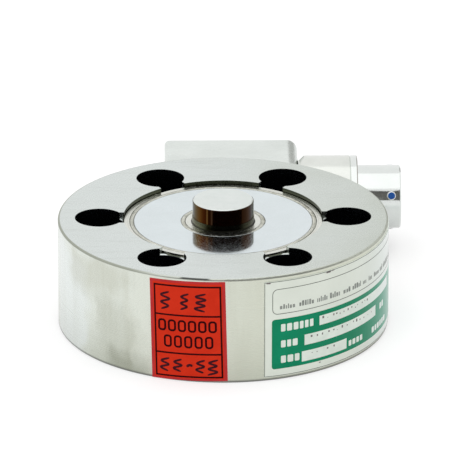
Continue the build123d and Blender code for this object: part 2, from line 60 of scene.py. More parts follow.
NAMEPLATE_R = 38.25
STICKER_R = 38.2
STICKER_ANGLE = -103.0
STICKER_TILT = 1.4
STICKER_MID_Z = 12.45
BAYONET_PIN_END_R = 8.395
BAYONET_PIN_ANGLE = 22.3


# Node wiring

def new_finish(name, metallic=0.0, roughness=0.5, colour=(0.8, 0.8, 0.8)):
    """A Principled material; returns it with its tree and shader."""
    material = bpy.data.materials.new(name)
    material.use_nodes = True
    tree = material.node_tree
    shader = tree.nodes["Principled BSDF"]
    shader.inputs["Base Color"].default_value = (*colour, 1)
    shader.inputs["Metallic"].default_value = metallic
    shader.inputs["Roughness"].default_value = roughness
    return material, tree, shader


def feed(tree, socket, value):
    """Joins a socket to another one, or gives it a number or a vector."""
    if isinstance(value, bpy.types.NodeSocket):
        tree.links.new(value, socket)
    elif value is not None:
        socket.default_value = value


def maths(tree, operation, a, b=None, clamp=False):
    """One Math node; a and b are sockets or numbers."""
    node = tree.nodes.new("ShaderNodeMath")
    node.operation = operation
    node.use_clamp = clamp
    feed(tree, node.inputs[0], a)
    feed(tree, node.inputs[1], b)
    return node.outputs[0]


def place(tree):
    """Object coordinates as (vector, x, y, z) sockets, in metres."""
    coordinates = tree.nodes.new("ShaderNodeTexCoord")
    split = tree.nodes.new("ShaderNodeSeparateXYZ")
    vector = coordinates.outputs["Object"]
    tree.links.new(vector, split.inputs[0])
    return vector, split.outputs[0], split.outputs[1], split.outputs[2]


def stretched(tree, vector, scale):
    """A vector with each axis scaled by its own factor."""
    mapping = tree.nodes.new("ShaderNodeMapping")
    mapping.inputs["Scale"].default_value = scale
    tree.links.new(vector, mapping.inputs["Vector"])
    return mapping.outputs[0]


def cloud(tree, vector, scale, detail=3.0, rough=0.55):
    """Noise between about 0.25 and 0.75."""
    noise = tree.nodes.new("ShaderNodeTexNoise")
    noise.inputs["Scale"].default_value = scale
    noise.inputs["Detail"].default_value = detail
    noise.inputs["Roughness"].default_value = rough
    tree.links.new(vector, noise.inputs["Vector"])
    return noise.outputs[0]


def remap(tree, value, low, high, to_low=0.0, to_high=1.0, smooth=False):
    """Maps low..high to to_low..to_high, with nothing past the ends."""
    node = tree.nodes.new("ShaderNodeMapRange")
    node.interpolation_type = "SMOOTHSTEP" if smooth else "LINEAR"
    feed(tree, node.inputs["Value"], value)
    node.inputs["From Min"].default_value = low
    node.inputs["From Max"].default_value = high
    node.inputs["To Min"].default_value = to_low
    node.inputs["To Max"].default_value = to_high
    return node.outputs["Result"]


def between(tree, value, start, end, to_low=0.0, to_high=1.0, smooth=False):
    """The same between two places that are given in millimetres."""
    return remap(tree, value, start * MM, end * MM, to_low, to_high, smooth)


def both(tree, a, b):
    """1 where two masks are 1."""
    return maths(tree, "MULTIPLY", a, b)


def blend_colours(tree, factor, a, b):
    """Mix of two colours, given as sockets or RGB triples."""
    node = tree.nodes.new("ShaderNodeMix")
    node.data_type = "RGBA"
    feed(tree, node.inputs[0], factor)
    for socket, value in ((node.inputs[6], a), (node.inputs[7], b)):
        feed(tree, socket, value if isinstance(value, bpy.types.NodeSocket) else (*value, 1))
    return node.outputs[2]


def tone_ramp(tree, value, low, high, stops):
    """Colours along a value; each stop is a value between low and high, with its RGB."""
    node = tree.nodes.new("ShaderNodeValToRGB")
    tree.links.new(remap(tree, value, low, high), node.inputs[0])
    ramp = node.color_ramp
    while len(ramp.elements) < len(stops):
        ramp.elements.new(0.5)
    for element, (at, colour) in zip(ramp.elements, stops):
        element.position = (at - low) / (high - low)
        element.color = (*colour, 1)
    return node.outputs[0]


def dent(tree, shader, height, depth):
    """Bump of a given depth in metres on the shader's normal."""
    node = tree.nodes.new("ShaderNodeBump")
    node.inputs["Strength"].default_value = 1.0
    node.inputs["Distance"].default_value = depth
    tree.links.new(height, node.inputs["Height"])
    tree.links.new(node.outputs[0], shader.inputs["Normal"])


def radius_of(tree, a, b):
    """Distance from the axis that a and b are measured from."""
    squares = maths(tree, "ADD", maths(tree, "MULTIPLY", a, a), maths(tree, "MULTIPLY", b, b))
    return maths(tree, "SQRT", squares)


def ring_mask(tree, radius, middle, half):
    """1 on a ring of that middle radius, 0 past its half width; in millimetres."""
    away = maths(tree, "ABSOLUTE", maths(tree, "SUBTRACT", radius, middle * MM))
    return between(tree, away, half, half * 0.6, smooth=True)


def hole_distance(tree, x, y, radius):
    """Distance to the nearest mounting hole's axis."""
    angle = maths(tree, "ARCTAN2", y, x)
    folded = maths(tree, "PINGPONG", angle, pi / HOLE_COUNT)
    across = maths(tree, "MULTIPLY", radius, maths(tree, "COSINE", folded))
    circle = HOLE_CIRCLE_R * MM
    far = maths(tree, "ADD", maths(tree, "MULTIPLY", radius, radius), circle * circle)
    near = maths(tree, "MULTIPLY", across, 2 * circle)
    return maths(tree, "SQRT", maths(tree, "MAXIMUM", maths(tree, "SUBTRACT", far, near), 0.0))


# Finishes

def camera_side_angle(tree, x, y):
    """Angle about the loading axis in degrees, 0 at the front, positive to the right."""
    turn = maths(tree, "ARCTAN2", x, maths(tree, "MULTIPLY", y, -1.0))
    return maths(tree, "MULTIPLY", turn, 180 / pi)


def band(tree, value, middle, half, soft):
    """1 within half of the middle, 0 a soft width past it; in the value's own unit."""
    away = maths(tree, "ABSOLUTE", maths(tree, "SUBTRACT", value, middle))
    return remap(tree, away, half + soft, half, smooth=True)


# Painted shade on the neck under the button, by angle from the front
NECK_SHADE_TONES = (
    (-90.0, (0.20, 0.20, 0.15)), (-50.0, (0.15, 0.155, 0.10)), (-31.0, (0.022, 0.02, 0.008)),
    (-20.0, (0.011, 0.011, 0.008)), (25.0, (0.011, 0.011, 0.008)), (51.0, (0.052, 0.052, 0.032)),
    (90.0, (0.12, 0.12, 0.09)),
)

# Smudges on the rim, the first of them a painted highlight at the far left: turn and half
# width in degrees with a soft border, height and half height in millimetres, strength, colour
RIM_SMUDGES = (
    (-70.0, 8.0, 7.0, 9.0, 12.0, 0.4, (0.83, 0.88, 0.90)),
    (-53.0, 10.0, 8.0, 21.0, 2.0, 0.36, (0.47, 0.475, 0.37)),
    (-46.0, 4.0, 5.0, 13.0, 1.5, 0.12, (0.47, 0.475, 0.37)),
    (-41.0, 7.0, 5.0, 7.0, 6.0, 0.32, (0.45, 0.465, 0.385)),
    (-36.0, 6.0, 6.0, 1.0, 1.5, 0.6, (0.32, 0.335, 0.265)),
    (-30.5, 3.0, 2.5, 14.0, 10.0, 0.35, (0.76, 0.79, 0.71)),
)


def lapped_top(tree, vector, x):
    """The top face: darker to the right, with soft clouds and a few long marks."""
    clouds = cloud(tree, vector, 45.0, 3.0)
    shift = maths(tree, "MULTIPLY", maths(tree, "SUBTRACT", clouds, 0.5), 50.0 * MM)
    darker_right = between(tree, maths(tree, "ADD", x, shift), 0.0, 36.0)
    steel = blend_colours(tree, darker_right, (0.65, 0.693, 0.675), (0.545, 0.583, 0.53))
    marks = cloud(tree, stretched(tree, vector, (90, 700, 90)), 1.0, 4.0, 0.65)
    return blend_colours(tree, remap(tree, marks, 0.52, 0.72, 0.0, 0.3), steel, (0.49, 0.52, 0.49))


def turned_rim(tree, vector, turn, z):
    """The side: upright smears and smudges, a painted reflection that is lighter to the left,
    painted shade low down and a painted shadow line along the bottom edge.
    """
    smears = cloud(tree, stretched(tree, vector, (210, 210, 22)), 1.0, 3.0, 0.6)
    # Painted reflection: lighter towards the left, darker to the right
    steel = blend_colours(
        tree, remap(tree, turn, -75.0, 15.0), (0.78, 0.82, 0.775), (0.645, 0.67, 0.57)
    )
    steel = blend_colours(tree, remap(tree, smears, 0.48, 0.7, 0.0, 0.5), steel, (0.57, 0.585, 0.49))
    # Painted shade: darker low down
    low = between(tree, z, 16.0, 1.0, 0.0, 0.35, smooth=True)
    steel = blend_colours(tree, low, steel, (0.46, 0.48, 0.39))
    warp = maths(tree, "SUBTRACT", cloud(tree, vector, 80.0, 4.0, 0.6), 0.5)
    warped_turn = maths(tree, "ADD", turn, maths(tree, "MULTIPLY", warp, 26.0))
    warped_z = maths(tree, "SUBTRACT", z, maths(tree, "MULTIPLY", warp, 12.0 * MM))
    for middle, half, soft, height, reach, strength, colour in RIM_SMUDGES:
        smudge = both(
            tree, band(tree, warped_turn, middle, half, soft),
            band(tree, warped_z, height * MM, reach * MM, 4.5 * MM),
        )
        steel = blend_colours(tree, maths(tree, "MULTIPLY", smudge, strength), steel, colour)
    # Painted shadow: a dark line along the bottom edge
    return blend_colours(tree, between(tree, z, 0.8, 0.3), steel, (0.16, 0.165, 0.15))


def rim_edge_shading(tree, turn, z):
    """The rounded top edge: dull, with painted shade at the left and below, a toned-down painted
    highlight to the right, and one dark nick in front.
    """
    # Painted shade at the left; to the right the colour is lowered to tone down a painted highlight
    steel = blend_colours(
        tree, remap(tree, turn, -34.0, -24.0), (0.38, 0.40, 0.34), (0.58, 0.61, 0.55)
    )
    steel = blend_colours(tree, remap(tree, turn, 0.0, 14.0), steel, (0.50, 0.525, 0.46))
    # Painted shade on the lower half of the rounding
    under = between(tree, z, BODY_HEIGHT - 0.15, BODY_HEIGHT - 0.35, 0.0, 0.35)
    steel = blend_colours(tree, under, steel, (0.33, 0.34, 0.29))
    nick = both(
        tree, band(tree, turn, -10.6, 4.0, 2.0),
        band(tree, z, (BODY_HEIGHT - 0.17) * MM, 0.1 * MM, 0.09 * MM),
    )
    return blend_colours(tree, nick, steel, (0.10, 0.105, 0.10))


def recess_shade_tone(tree, z):
    """Painted shade on the wall of the recess and the seat beside it, darkest at its top."""
    deep = between(tree, z, BODY_HEIGHT - 0.1, BODY_HEIGHT - 0.9)
    return blend_colours(tree, deep, (0.062, 0.072, 0.05), (0.10, 0.11, 0.078))


def neck_side(tree, turn, z):
    """The neck under the button in painted shade, near black in front and darkest at its foot."""
    steel = tone_ramp(tree, turn, -90.0, 90.0, NECK_SHADE_TONES)
    # Painted shade at the foot of the neck
    foot = between(tree, z, DIAPHRAGM_TOP_Z + 0.4, DIAPHRAGM_TOP_Z + 0.2, 0.0, 0.75)
    return blend_colours(tree, foot, steel, (0.004, 0.004, 0.003))


def machined_body():
    """Ground stainless steel: lapped top, turned rim and rounded edge with painted shade and
    reflection, and painted shade in the recess, bores and neck.
    """
    material, tree, shader = new_finish("machined_body", 1.0, 0.25)
    vector, x, y, z = place(tree)
    radius = radius_of(tree, x, y)
    turn = camera_side_angle(tree, x, y)
    side = between(tree, radius, BODY_R - 0.35, BODY_R - 0.2)
    edge = both(
        tree, between(tree, radius, BODY_R - 0.48, BODY_R - 0.38),
        between(tree, z, BODY_HEIGHT - 0.5, BODY_HEIGHT - 0.44),
    )
    recess = both(
        tree, between(tree, radius, RECESS_R + 0.2, RECESS_R + 0.1),
        between(tree, z, BODY_HEIGHT - 0.03, BODY_HEIGHT - 0.1),
    )
    holes = hole_distance(tree, x, y, radius)
    bores = both(
        tree, between(tree, holes, COUNTERBORE_R + 0.05, COUNTERBORE_R + 0.02),
        between(tree, z, BODY_HEIGHT - 0.02, BODY_HEIGHT - 0.15),
    )
    neck = both(
        tree, between(tree, radius, NECK_R + 0.45, NECK_R + 0.35),
        between(tree, z, DIAPHRAGM_TOP_Z - 0.6, DIAPHRAGM_TOP_Z - 0.4),
    )
    steel = lapped_top(tree, vector, x)
    for mask, colour in (
        (side, turned_rim(tree, vector, turn, z)),
        (edge, rim_edge_shading(tree, turn, z)),
        (recess, recess_shade_tone(tree, z)),
        # Painted shade: the bores are dark blue-grey where the deep holes lie in shadow
        (bores, (0.062, 0.070, 0.085)),
        (neck, neck_side(tree, turn, z)),
    ):
        steel = blend_colours(tree, mask, steel, colour)
    tree.links.new(steel, shader.inputs["Base Color"])

    # Turning rings on the side, a fine grain elsewhere, and a dull smooth edge
    rings = cloud(tree, stretched(tree, vector, (30, 30, 9000)), 1.0, 2.0)
    fine = cloud(tree, vector, 3500.0, 3.0)
    grain = maths(
        tree, "ADD", maths(tree, "MULTIPLY", rings, side),
        maths(tree, "MULTIPLY", fine, maths(tree, "SUBTRACT", 1.0, side)),
    )
    dull = maths(tree, "MULTIPLY", edge, 0.18)
    rough = maths(tree, "ADD", remap(tree, grain, 0.3, 0.7, 0.22, 0.3), dull)
    tree.links.new(rough, shader.inputs["Roughness"])
    off_edge = maths(tree, "SUBTRACT", 1.0, edge)
    dent(tree, shader, maths(tree, "MULTIPLY", grain, off_edge), 0.9 * MICRON)
    return material


# Dark lines along the welds of the diaphragm: radius, half width, strength
WELD_LINES = (
    (OUTER_WELD_R - 0.5, 0.16, 0.75), (OUTER_WELD_R + 0.5, 0.16, 0.75),
    (OUTER_WELD_R + 0.97, 0.14, 0.45), (OUTER_WELD_R + 0.05, 0.12, 0.5),
    (INNER_WELD_R + 0.5, 0.15, 0.32), (INNER_WELD_R + 0.1, 0.12, 0.25),
    (INNER_WELD_R - 0.45, 0.14, 0.34),
)


def weld_beads(tree, turn, inside, beads, spatter):
    """The welds' own steel, and a mask of its ragged stretch at the back right."""
    steel = blend_colours(
        tree, remap(tree, beads, 0.42, 0.58), (0.47, 0.47, 0.39), (0.70, 0.70, 0.62)
    )
    steel = blend_colours(tree, remap(tree, spatter, 0.56, 0.66), steel, (0.92, 0.92, 0.86))
    ragged = band(tree, turn, 118.0, 20.0, 16.0)
    calm = maths(
        tree, "MULTIPLY", maths(tree, "SUBTRACT", 1.0, ragged),
        maths(tree, "SUBTRACT", 0.6, maths(tree, "MULTIPLY", inside, 0.2)),
    )
    return blend_colours(tree, calm, steel, (0.66, 0.67, 0.60)), ragged


def polished_diaphragm():
    """A bright rolled disc with two beaded weld rings and duller margins beside them."""
    material, tree, shader = new_finish("polished_diaphragm", 1.0, 0.1)
    vector, x, y, _ = place(tree)
    radius = radius_of(tree, x, y)
    turn = camera_side_angle(tree, x, y)
    haze = cloud(tree, vector, 140.0, 4.0)
    beads = cloud(tree, vector, 520.0, 3.0, 0.6)
    spatter = cloud(tree, vector, 1500.0, 3.0, 0.7)
    margin = maths(
        tree, "ADD", between(tree, radius, OUTER_WELD_R - 0.5, OUTER_WELD_R - 0.3),
        between(tree, radius, INNER_WELD_R + 0.4, INNER_WELD_R + 0.2), clamp=True,
    )
    welds = maths(
        tree, "ADD", ring_mask(tree, radius, OUTER_WELD_R, OUTER_WELD_HALF * 1.25),
        ring_mask(tree, radius, INNER_WELD_R, INNER_WELD_HALF * 1.25), clamp=True,
    )
    inside = between(tree, radius, INNER_WELD_R + 1.3, INNER_WELD_R + 1.1)
    plate = blend_colours(
        tree, remap(tree, haze, 0.35, 0.7), (0.67, 0.73, 0.745), (0.70, 0.76, 0.78)
    )
    plate = blend_colours(tree, margin, plate, (0.70, 0.71, 0.655))
    bead, ragged = weld_beads(tree, turn, inside, beads, spatter)

    # The inner weld and its margin carry a painted reflection of the dark button side in front:
    # dark, with a few bright specks
    dull = both(tree, band(tree, turn, 2.0, 34.0, 14.0), inside)
    bead_in_dark_reflection = blend_colours(
        tree, remap(tree, spatter, 0.53, 0.62), (0.03, 0.03, 0.024), (0.48, 0.48, 0.43)
    )
    bead = blend_colours(tree, dull, bead, bead_in_dark_reflection)
    margin_in_dark_reflection = maths(tree, "MULTIPLY", both(tree, dull, margin), 0.8)
    plate = blend_colours(tree, margin_in_dark_reflection, plate, (0.12, 0.12, 0.10))
    colour = blend_colours(tree, welds, plate, bead)
    line_strength = maths(tree, "ADD", 0.5, maths(tree, "MULTIPLY", ragged, 0.5))
    for middle, half, strength in WELD_LINES:
        line = maths(tree, "MULTIPLY", ring_mask(tree, radius, middle, half), strength)
        line = maths(tree, "MULTIPLY", line, line_strength)
        line = maths(tree, "MULTIPLY", line, remap(tree, beads, 0.3, 0.6, 1.0, 0.45))
        colour = blend_colours(tree, line, colour, (0.20, 0.205, 0.16))
    tree.links.new(colour, shader.inputs["Base Color"])

    # A haze of tiny dull specks veils what the disc mirrors
    specks = remap(tree, cloud(tree, vector, 9000.0, 2.0), 0.58, 0.66, 0.0, 0.3)
    rough = maths(tree, "ADD", remap(tree, haze, 0.3, 0.7, 0.07, 0.11), specks)
    rough = maths(tree, "ADD", rough, maths(tree, "MULTIPLY", margin, 0.16))
    rough = maths(tree, "ADD", rough, maths(tree, "MULTIPLY", welds, 0.1))
    tree.links.new(rough, shader.inputs["Roughness"])
    height = maths(tree, "MULTIPLY", welds, maths(tree, "ADD", beads, spatter))
    dent(tree, shader, height, 220 * MICRON)
    return material


# Heat tints round the button's side, by angle from the front
HEAT_TINTS = (
    (-90.0, (0.04, 0.03, 0.01)), (-66.0, (0.10, 0.056, 0.004)), (-49.0, (0.13, 0.046, 0.002)),
    (-41.0, (0.068, 0.014, 0.001)), (-28.0, (0.019, 0.005, 0.001)), (-19.0, (0.018, 0.005, 0.002)),
    (-13.0, (0.016, 0.003, 0.001)), (20.0, (0.016, 0.003, 0.001)), (34.0, (0.024, 0.009, 0.004)),
    (50.0, (0.046, 0.016, 0.003)), (64.0, (0.03, 0.008, 0.002)), (78.0, (0.08, 0.075, 0.02)),
)

# Bright upright streaks on the button's side: angle and half width in degrees, colour
BUTTON_STREAKS = (
    (-32.5, 1.1, (0.13, 0.062, 0.018)), (-22.7, 1.3, (0.055, 0.026, 0.013)),
)


def hardened_button():
    """The button: lapped pale top, dark heat-tinted side with upright streaks."""
    material, tree, shader = new_finish("hardened_button", 1.0, 0.2)
    vector, x, y, z = place(tree)
    turn = camera_side_angle(tree, x, y)
    streaks = cloud(tree, stretched(tree, vector, (900, 900, 30)), 1.0, 2.0, 0.5)
    side = tone_ramp(tree, turn, -90.0, 90.0, HEAT_TINTS)
    dark = remap(tree, streaks, 0.42, 0.62, 0.0, 0.3)
    side = blend_colours(tree, dark, side, (0.012, 0.003, 0.001))
    for middle, half, colour in BUTTON_STREAKS:
        side = blend_colours(tree, band(tree, turn, middle, half, 1.0), side, colour)
    # The dark side colour reaches over the lower part of the crown's rounding: painted shade that
    # thins its highlight
    top = between(tree, z, BUTTON_TOP_Z - 0.2, BUTTON_TOP_Z - 0.13)
    lap = cloud(tree, vector, 300.0, 4.0)
    crown = blend_colours(
        tree, remap(tree, lap, 0.35, 0.7), (0.70, 0.745, 0.72), (0.75, 0.785, 0.765)
    )
    tree.links.new(blend_colours(tree, top, side, crown), shader.inputs["Base Color"])
    tree.links.new(remap(tree, top, 0.0, 1.0, 0.12, 0.3), shader.inputs["Roughness"])
    dent(tree, shader, cloud(tree, vector, 3000.0, 3.0), 2 * MICRON)
    return material


def satin_block():
    """The junction block: finely ground steel with soft patches."""
    material, tree, shader = new_finish("satin_block", 1.0, 0.3)
    vector = place(tree)[0]
    patches = cloud(tree, vector, 110.0, 3.0)
    steel = blend_colours(
        tree, remap(tree, patches, 0.35, 0.7), (0.69, 0.73, 0.70), (0.75, 0.79, 0.76)
    )
    tree.links.new(steel, shader.inputs["Base Color"])
    grain = cloud(tree, stretched(tree, vector, (60, 2500, 2500)), 1.0, 3.0)
    tree.links.new(remap(tree, grain, 0.3, 0.7, 0.24, 0.36), shader.inputs["Roughness"])
    dent(tree, shader, grain, 3 * MICRON)
    return material


def turned_along_x(name, dark, bright, roughness, flange_shadow_x=None):
    """A part turned about the connector axis: fine rings, painted shade below, perhaps a painted
    shadow line across it.
    """
    material, tree, shader = new_finish(name, 1.0, roughness)
    vector, x, _, z = place(tree)
    rings = cloud(tree, stretched(tree, vector, (7000, 40, 40)), 1.0, 2.0)
    patches = cloud(tree, vector, 150.0, 3.0)
    steel = blend_colours(tree, remap(tree, patches, 0.3, 0.7), dark, bright)
    # Painted shade: darker low down
    low = between(tree, z, 8.5, 5.2, 0.0, 0.3, smooth=True)
    steel = blend_colours(tree, low, steel, (0.45, 0.46, 0.43))
    # A painted shadow line at the flange's end
    if flange_shadow_x:
        line = band(tree, x, flange_shadow_x * MM, 0.07 * MM, 0.08 * MM)
        steel = blend_colours(tree, maths(tree, "MULTIPLY", line, 0.8), steel, (0.22, 0.19, 0.16))
    tree.links.new(steel, shader.inputs["Base Color"])
    tree.links.new(
        remap(tree, rings, 0.3, 0.7, roughness * 0.8, roughness * 1.25), shader.inputs["Roughness"]
    )
    dent(tree, shader, rings, 0.8 * MICRON)
    return material


def turned_cover():
    """The base cover, faced in a lathe, with its closing weld."""
    material, tree, shader = new_finish("turned_cover", 1.0, 0.3)
    vector, x, y, _ = place(tree)
    radius = radius_of(tree, x, y)
    grooves = maths(tree, "SINE", maths(tree, "MULTIPLY", radius, 2 * pi / (FACING_PITCH * MM)))
    weld = ring_mask(tree, radius, COVER_WELD_R, OUTER_WELD_HALF * 1.25)
    spatter = cloud(tree, vector, 900.0, 3.0, 0.7)
    patches = cloud(tree, vector, 90.0)
    plate = blend_colours(
        tree, remap(tree, patches, 0.3, 0.7), (0.62, 0.63, 0.62), (0.72, 0.73, 0.72)
    )
    bead = blend_colours(
        tree, remap(tree, spatter, 0.38, 0.62), (0.36, 0.33, 0.28), (0.72, 0.71, 0.66)
    )
    tree.links.new(blend_colours(tree, weld, plate, bead), shader.inputs["Base Color"])
    tree.links.new(remap(tree, spatter, 0.3, 0.7, 0.24, 0.38), shader.inputs["Roughness"])
    height = maths(tree, "ADD", maths(tree, "MULTIPLY", grooves, 0.1),
                   maths(tree, "MULTIPLY", weld, spatter))
    dent(tree, shader, height, 30 * MICRON)
    return material


def plain_finish(name, dark, bright, metallic=0.0, roughness=0.5, scale=400.0,
                 depth=10 * MICRON, gloss=0.5, varnish=0.0, painted_glare=None):
    """A finish with mottled colour and roughness, a fine grain, perhaps a thin varnish, and
    perhaps a painted glare: a paler colour towards the right end of the rim."""
    material, tree, shader = new_finish(name, metallic, roughness)
    shader.inputs["Specular IOR Level"].default_value = gloss
    shader.inputs["Coat Weight"].default_value = varnish
    shader.inputs["Coat Roughness"].default_value = 0.2
    shader.inputs["Coat IOR"].default_value = 1.2
    shader.inputs["Sheen Weight"].default_value = varnish * 0.7
    shader.inputs["Sheen Roughness"].default_value = 0.35
    vector, x, y, _ = place(tree)
    mottle = cloud(tree, vector, scale, 4.0)
    colour = blend_colours(tree, remap(tree, mottle, 0.3, 0.7), dark, bright)
    # Painted glare: paler towards the right end of the rim
    if painted_glare:
        turn = camera_side_angle(tree, x, y)
        colour = blend_colours(tree, remap(tree, turn, 46.0, 88.0, smooth=True), colour, painted_glare)
    tree.links.new(colour, shader.inputs["Base Color"])
    tree.links.new(
        remap(tree, mottle, 0.3, 0.7, roughness * 0.85, min(1.0, roughness * 1.15)),
        shader.inputs["Roughness"],
    )
    dent(tree, shader, cloud(tree, vector, scale * 6, 3.0), depth)
    return material


# The finish of each CAD node, by its name without a number
CAD_FINISHES = {
    "sensing_body": machined_body(),
    "top_diaphragm": polished_diaphragm(),
    "base_cover": turned_cover(),
    "load_button": hardened_button(),
    "junction_block": satin_block(),
    "connector_adaptor": turned_along_x(
        "turned_adaptor", (0.68, 0.70, 0.66), (0.75, 0.77, 0.73), roughness=0.2
    ),
    "receptacle_shell": turned_along_x(
        "plated_shell", (0.72, 0.75, 0.73), (0.78, 0.81, 0.79), roughness=0.12,
        flange_shadow_x=FLANGE_END_X,
    ),
    "receptacle_insert": plain_finish(
        "sealing_glass", (0.01, 0.035, 0.03), (0.02, 0.06, 0.05), roughness=0.12, scale=500.0,
        depth=4 * MICRON,
    ),
    "interface_seal": plain_finish(
        "seal_rubber", (0.19, 0.06, 0.03), (0.25, 0.085, 0.04), roughness=0.6, scale=700.0,
        depth=20 * MICRON,
    ),
    "nameplate": plain_finish(
        "nameplate_foil", (0.75, 0.795, 0.71), (0.82, 0.865, 0.78), metallic=0.25,
        roughness=0.34, scale=120.0, depth=3 * MICRON, gloss=0.2, varnish=0.8,
        painted_glare=(0.83, 0.91, 0.87),
    ),
    "calibration_sticker": plain_finish(
        "sticker_margin", (0.46, 0.026, 0.028), (0.55, 0.036, 0.038), scale=300.0,
        depth=4 * MICRON, gloss=0.1,
    ),
    "passage_sleeve": plain_finish(
        "insulating_plastic", (0.72, 0.70, 0.62), (0.80, 0.78, 0.70), roughness=0.4, scale=300.0
    ),
    "board_pad": plain_finish(
        "foam_pad", (0.03, 0.03, 0.032), (0.07, 0.07, 0.072), roughness=0.9, scale=2500.0,
        depth=100 * MICRON,
    ),
    "compensation_board": plain_finish(
        "circuit_board", (0.012, 0.10, 0.045), (0.02, 0.15, 0.065), roughness=0.35, scale=900.0
    ),
    "strain_gauge": plain_finish(
        "gauge_film", (0.55, 0.30, 0.08), (0.66, 0.40, 0.12), metallic=0.2, roughness=0.35,
        scale=1500.0,
    ),
    "gauge_terminal": plain_finish(
        "solder_terminal", (0.60, 0.60, 0.58), (0.78, 0.78, 0.76), metallic=0.9, roughness=0.35,
        scale=1200.0, depth=40 * MICRON,
    ),
    "bridge_wire": plain_finish(
        "copper_wire", (0.72, 0.30, 0.13), (0.85, 0.42, 0.22), metallic=1.0, roughness=0.3,
        scale=1500.0,
    ),
    "signal_lead": plain_finish(
        "lead_sleeving", (0.60, 0.04, 0.03), (0.72, 0.06, 0.05), roughness=0.45, scale=1200.0
    ),
    "contact_lead": plain_finish(
        "contact_lead_sleeving", (0.70, 0.69, 0.66), (0.82, 0.81, 0.78), roughness=0.45,
        scale=1200.0,
    ),
    "trim_resistor": plain_finish(
        "resistor_body", (0.02, 0.02, 0.025), (0.05, 0.05, 0.055), roughness=0.4, scale=1500.0
    ),
    "contact_pin": plain_finish(
        "contact_gold", (0.86, 0.60, 0.22), (0.95, 0.72, 0.32), metallic=1.0, roughness=0.22,
        scale=1500.0, depth=3 * MICRON,
    ),
    "bayonet_pin": plain_finish(
        "bayonet_steel", (0.72, 0.74, 0.74), (0.80, 0.82, 0.82), metallic=0.6, roughness=0.35,
        scale=1200.0, depth=4 * MICRON,
    ),
}

for name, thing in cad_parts.items():
    thing.data.materials.clear()
    thing.data.materials.append(CAD_FINISHES[name.rstrip("_0123456789")])


# Prints on the rim, drawn flat with x along the rim and y up, and then wrapped

def field(sheet, left, right, low, high, corner=0.0):
    """A filled rectangle on a flat sheet, with rounded corners if asked."""
    made = bmesh.ops.create_grid(sheet, x_segments=1, y_segments=1, size=0.5)["verts"]
    bmesh.ops.scale(sheet, vec=(right - left, high - low, 1), verts=made)
    bmesh.ops.translate(sheet, vec=((left + right) / 2, (low + high) / 2, 0), verts=made)
    if corner:
        bmesh.ops.bevel(
            sheet, geom=made, offset=corner, segments=6, profile=0.5,
            affect="VERTICES", material=-1,
        )


def outline(sheet, left, right, low, high, line, corner=0.0):
    """The line around a rectangle."""
    own = bmesh.new()
    field(own, left, right, low, high, corner)
    bmesh.ops.inset_region(
        own, faces=own.faces[:], thickness=line, use_even_offset=True, use_boundary=True
    )
    middle = max(own.faces, key=lambda face: face.calc_area())
    bmesh.ops.delete(own, geom=[middle], context="FACES_ONLY")
    pour(own, sheet)


def pour(own, sheet):
    """Adds one sheet's faces to another."""
    mesh = bpy.data.meshes.new("part_of_sheet")
    own.to_mesh(mesh)
    own.free()
    sheet.from_mesh(mesh)
    bpy.data.meshes.remove(mesh)


def wrap(sheet, radius, lift, thickness, middle_angle, middle_z, tilt=0.0, step=1.2):
    """Bends a flat sheet on to the rim, with a little thickness."""
    lows = [v.co.x for v in sheet.verts]
    at = min(lows) + step
    while at < max(lows):
        bmesh.ops.bisect_plane(
            sheet, geom=sheet.verts[:] + sheet.edges[:] + sheet.faces[:],
            plane_co=(at, 0, 0), plane_no=(1, 0, 0),
        )
        at += step
    grown = bmesh.ops.extrude_face_region(sheet, geom=sheet.faces[:])["geom"]
    raised = [v for v in grown if isinstance(v, bmesh.types.BMVert)]
    bmesh.ops.translate(sheet, vec=(0, 0, thickness), verts=raised)
    bmesh.ops.rotate(sheet, cent=(0, 0, 0), matrix=Matrix.Rotation(radians(tilt), 3, "Z"),
                     verts=sheet.verts[:])
    for vert in sheet.verts:
        reach = radius + lift + vert.co.z
        angle = radians(middle_angle) + vert.co.x / radius
        vert.co = Vector((reach * cos(angle), reach * sin(angle), middle_z + vert.co.y)) * MM
    bmesh.ops.recalc_face_normals(sheet, faces=sheet.faces[:])


def on_nameplate(sheet, layer, thickness):
    """Wraps print on to the nameplate; layer 0 lies on the foil."""
    wrap(sheet, NAMEPLATE_R, layer * PRINT_THICKNESS, thickness, FRONT_ANGLE, 0)


def on_sticker(sheet, layer):
    """Wraps print on to the sticker; layer 0 lies on the paper."""
    wrap(
        sheet, STICKER_R, layer * INK_THICKNESS, INK_THICKNESS, STICKER_ANGLE, STICKER_MID_Z,
        STICKER_TILT,
    )


def new_object(name, shape, material):
    """An object with a bmesh's faces, linked to the scene."""
    mesh = bpy.data.meshes.new(name)
    shape.to_mesh(mesh)
    shape.free()
    mesh.materials.append(material)
    thing = bpy.data.objects.new(name, mesh)
    bpy.context.scene.collection.objects.link(thing)
    return thing


def finished(name, shape, material):
    """Turns a bmesh into a piece that rides on the object."""
    thing = new_object(name, shape, material)
    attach(thing, "root")


def letter_blocks(sheet, rng, left, right, low, high, narrow, wide, gap, uneven=0.0):
    """A word as a row of small upright blocks, which spell nothing."""
    at = left
    while at < right - narrow:
        width = min(narrow + (wide - narrow) * rng.random(), right - at)
        top = high - (high - low) * uneven * (rng.random() < 0.6)
        field(sheet, at, at + width, low, top, min(width, top - low) * 0.2)
        at += width + gap


